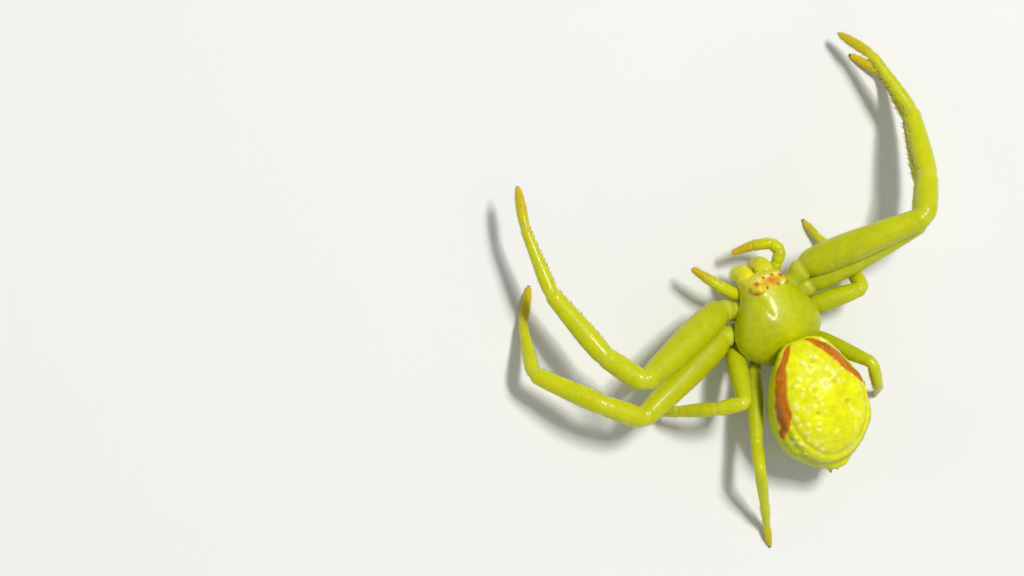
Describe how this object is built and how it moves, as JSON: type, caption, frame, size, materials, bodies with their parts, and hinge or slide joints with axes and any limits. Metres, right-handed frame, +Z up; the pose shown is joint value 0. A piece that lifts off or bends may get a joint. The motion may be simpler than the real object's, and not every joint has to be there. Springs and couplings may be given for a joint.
{
  "type": "crab spider model",
  "caption": "Life-size still model of an adult female crab spider, yellow-green, standing with its long front legs spread and its broad banded abdomen behind.",
  "frame": {"origin": "centre of the model's outline seen from above, on the floor that the feet stand on", "axes": "+Z up, -Y the way the spider looks, +X the spider's own left"},
  "size_m": [0.0194, 0.017, 0.0045],
  "materials": {
    "shell": "satin",
    "legs": "satin",
    "feet": "satin",
    "abdomen": "satin",
    "eyes": "gloss"
  },
  "bodies": {
    "root": {"carapace": "shell", "sternum": "shell", "mouthparts": "shell", "pedicel": "shell", "abdomen": "abdomen", "spinnerets": "abdomen", "chelicera_left": "shell", "chelicera_right": "shell", "palp_left": "legs", "palp_right": "legs", "eye_front_middle_left": "eyes", "eye_front_middle_right": "eyes", "eye_rear_middle_left": "eyes", "eye_rear_middle_right": "eyes", "eye_front_side_left": "eyes", "eye_front_side_right": "eyes", "eye_rear_side_left": "eyes", "eye_rear_side_right": "eyes", "leg_1_left_coxa": "legs", "leg_1_left_femur": "legs", "leg_1_left_shin": "legs", "leg_1_left_foot": "feet", "leg_1_right_coxa": "legs", "leg_1_right_femur": "legs", "leg_1_right_shin": "legs", "leg_1_right_foot": "feet", "leg_2_left_coxa": "legs", "leg_2_left_femur": "legs", "leg_2_left_shin": "legs", "leg_2_left_foot": "feet", "leg_2_right_coxa": "legs", "leg_2_right_femur": "legs", "leg_2_right_shin": "legs", "leg_2_right_foot": "feet", "leg_3_left_coxa": "legs", "leg_3_left_femur": "legs", "leg_3_left_shin": "legs", "leg_3_left_foot": "feet", "leg_3_right_coxa": "legs", "leg_3_right_femur": "legs", "leg_3_right_shin": "legs", "leg_3_right_foot": "feet", "leg_4_left_coxa": "legs", "leg_4_left_femur": "legs", "leg_4_left_shin": "legs", "leg_4_left_foot": "feet", "leg_4_right_coxa": "legs", "leg_4_right_femur": "legs", "leg_4_right_shin": "legs", "leg_4_right_foot": "feet"}
  },
  "joints": []
}
